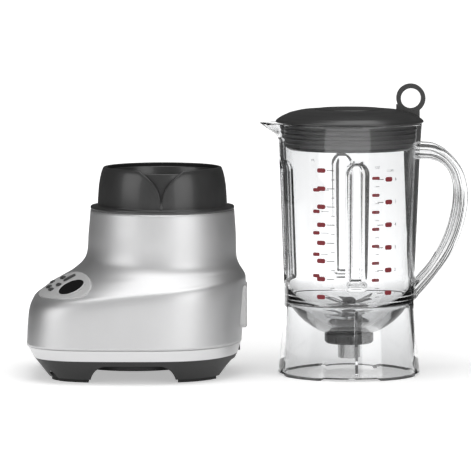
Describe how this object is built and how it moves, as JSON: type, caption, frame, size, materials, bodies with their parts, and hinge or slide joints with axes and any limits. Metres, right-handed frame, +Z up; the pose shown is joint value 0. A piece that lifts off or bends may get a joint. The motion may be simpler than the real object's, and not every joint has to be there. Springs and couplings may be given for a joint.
{
  "type": "countertop blender",
  "caption": "Countertop blender with a sloping silver motor base, dark collar and control panel, beside its clear lidded jug with handle, spout and blades.",
  "frame": {"origin": "on the surface the base and the jug stand on, below the middle of the whole object", "axes": "+X from the motor base to the jug, +Z up; the control slope faces -X and the display leans towards -Y"},
  "size_m": [0.4249, 0.1964, 0.281],
  "materials": {
    "silver_shell": "satin die-cast, fine grain",
    "trim_silver": "brushed band",
    "tray_black": "moulded, fine texture",
    "foot_rubber": "matt rubber",
    "collar_gloss": "polished",
    "seal_rubber": "soft seal",
    "vent_plastic": "silver-coated moulding",
    "fascia_silver": "light satin plate",
    "display_black": "glossy window",
    "button_grey": "satin key",
    "board_green": "printed circuit board",
    "steel_laminated": "stacked laminations",
    "copper_wire": "enamelled wire",
    "bracket_alloy": "cast",
    "bearing_steel": "ground",
    "holder_brass": "stamped",
    "carbon": "pressed carbon",
    "screw_steel": "zinc plated",
    "fan_plastic": "moulded",
    "drive_steel": "machined",
    "jug_clear": "clear moulding, polished",
    "blade_steel": "ground stainless steel",
    "base_dark": "satin moulding",
    "lid_smoke": "dark smoked moulding",
    "print_red": "printed scale",
    "print_grey": "printed scale"
  },
  "bodies": {
    "motor_base": {"base_housing": "silver_shell", "trim_band": "trim_silver", "bottom_tray": "tray_black", "rubber_feet": "foot_rubber", "jug_collar": "collar_gloss", "collar_gasket": "seal_rubber", "rear_vent_cover": "vent_plastic", "cord_inlet": "tray_black", "fascia_panel": "fascia_silver", "display_bezel": "fascia_silver", "display_lens": "display_black", "display_module": "board_green", "control_board": "board_green", "motor_stator": "steel_laminated", "field_coils": "copper_wire", "lower_motor_bracket": "bracket_alloy", "upper_motor_bracket": "bracket_alloy", "lower_bearing": "bearing_steel", "upper_bearing": "bearing_steel", "brush_holders": "holder_brass", "carbon_brushes": "carbon", "motor_bushes": "foot_rubber", "motor_screws": "screw_steel", "tray_screws": "screw_steel", "air_baffle": "fan_plastic"},
    "rotor": {"motor_shaft": "drive_steel", "cooling_fan": "fan_plastic", "armature_core": "steel_laminated", "armature_windings": "copper_wire", "commutator": "copper_wire", "drive_socket": "base_dark"},
    "jug": {"jug_vessel": "jug_clear", "jug_handle": "jug_clear", "base_seal": "seal_rubber", "blade_base": "base_dark", "blade_housing": "base_dark", "spindle_bush": "holder_brass"},
    "blades": {"blade_spindle": "drive_steel", "jug_coupler": "drive_steel", "lower_blades": "blade_steel", "upper_blades": "blade_steel", "blade_nut": "base_dark"},
    "lid": {"lid_shell": "lid_smoke", "lid_gasket": "seal_rubber", "ring_pull": "collar_gloss"},
    "cap": {"measuring_cap": "lid_smoke"},
    "button_start_stop_key": {"button_start_stop": "button_grey"},
    "button_speed_up_key": {"button_speed_up": "button_grey"},
    "button_speed_down_key": {"button_speed_down": "button_grey"},
    "button_pulse_key": {"button_pulse": "button_grey"},
    "button_ice_crush_key": {"button_ice_crush": "button_grey"},
    "button_smoothie_key": {"button_smoothie": "button_grey"}
  },
  "joints": [
    {"name": "motor_spin", "type": "hinge", "parent": "motor_base", "child": "rotor", "pos_m": [-0.0822, 0, 0.1], "axis": [0, 0, 1], "continuous": true},
    {"name": "jug_lift", "type": "slide", "parent": "motor_base", "child": "jug", "axis": [0, 0, 1], "range_m": [0, 0.23]},
    {"name": "blade_spin", "type": "hinge", "parent": "jug", "child": "blades", "pos_m": [0.0984, 0, 0.05], "axis": [0, 0, 1], "continuous": true},
    {"name": "lid_lift", "type": "slide", "parent": "jug", "child": "lid", "axis": [0, 0, 1], "range_m": [0, 0.06]},
    {"name": "cap_lift", "type": "slide", "parent": "lid", "child": "cap", "axis": [0, 0, 1], "range_m": [0, 0.06]},
    {"name": "button_start_stop_press", "type": "slide", "parent": "motor_base", "child": "button_start_stop_key", "axis": [0.4247, 0.2129, -0.8799], "range_m": [0, 0.0012], "stiffness_N_per_m": 300},
    {"name": "button_speed_up_press", "type": "slide", "parent": "motor_base", "child": "button_speed_up_key", "axis": [0.4506, 0.2076, -0.8683], "range_m": [0, 0.0012], "stiffness_N_per_m": 300},
    {"name": "button_speed_down_press", "type": "slide", "parent": "motor_base", "child": "button_speed_down_key", "axis": [0.4625, 0.1881, -0.8664], "range_m": [0, 0.0012], "stiffness_N_per_m": 300},
    {"name": "button_pulse_press", "type": "slide", "parent": "motor_base", "child": "button_pulse_key", "axis": [0.4639, 0.1446, -0.874], "range_m": [0, 0.0012], "stiffness_N_per_m": 300},
    {"name": "button_ice_crush_press", "type": "slide", "parent": "motor_base", "child": "button_ice_crush_key", "axis": [0.5246, 0.1315, -0.8411], "range_m": [0, 0.0012], "stiffness_N_per_m": 300},
    {"name": "button_smoothie_press", "type": "slide", "parent": "motor_base", "child": "button_smoothie_key", "axis": [0.5424, 0.08, -0.8363], "range_m": [0, 0.0012], "stiffness_N_per_m": 300}
  ]
}
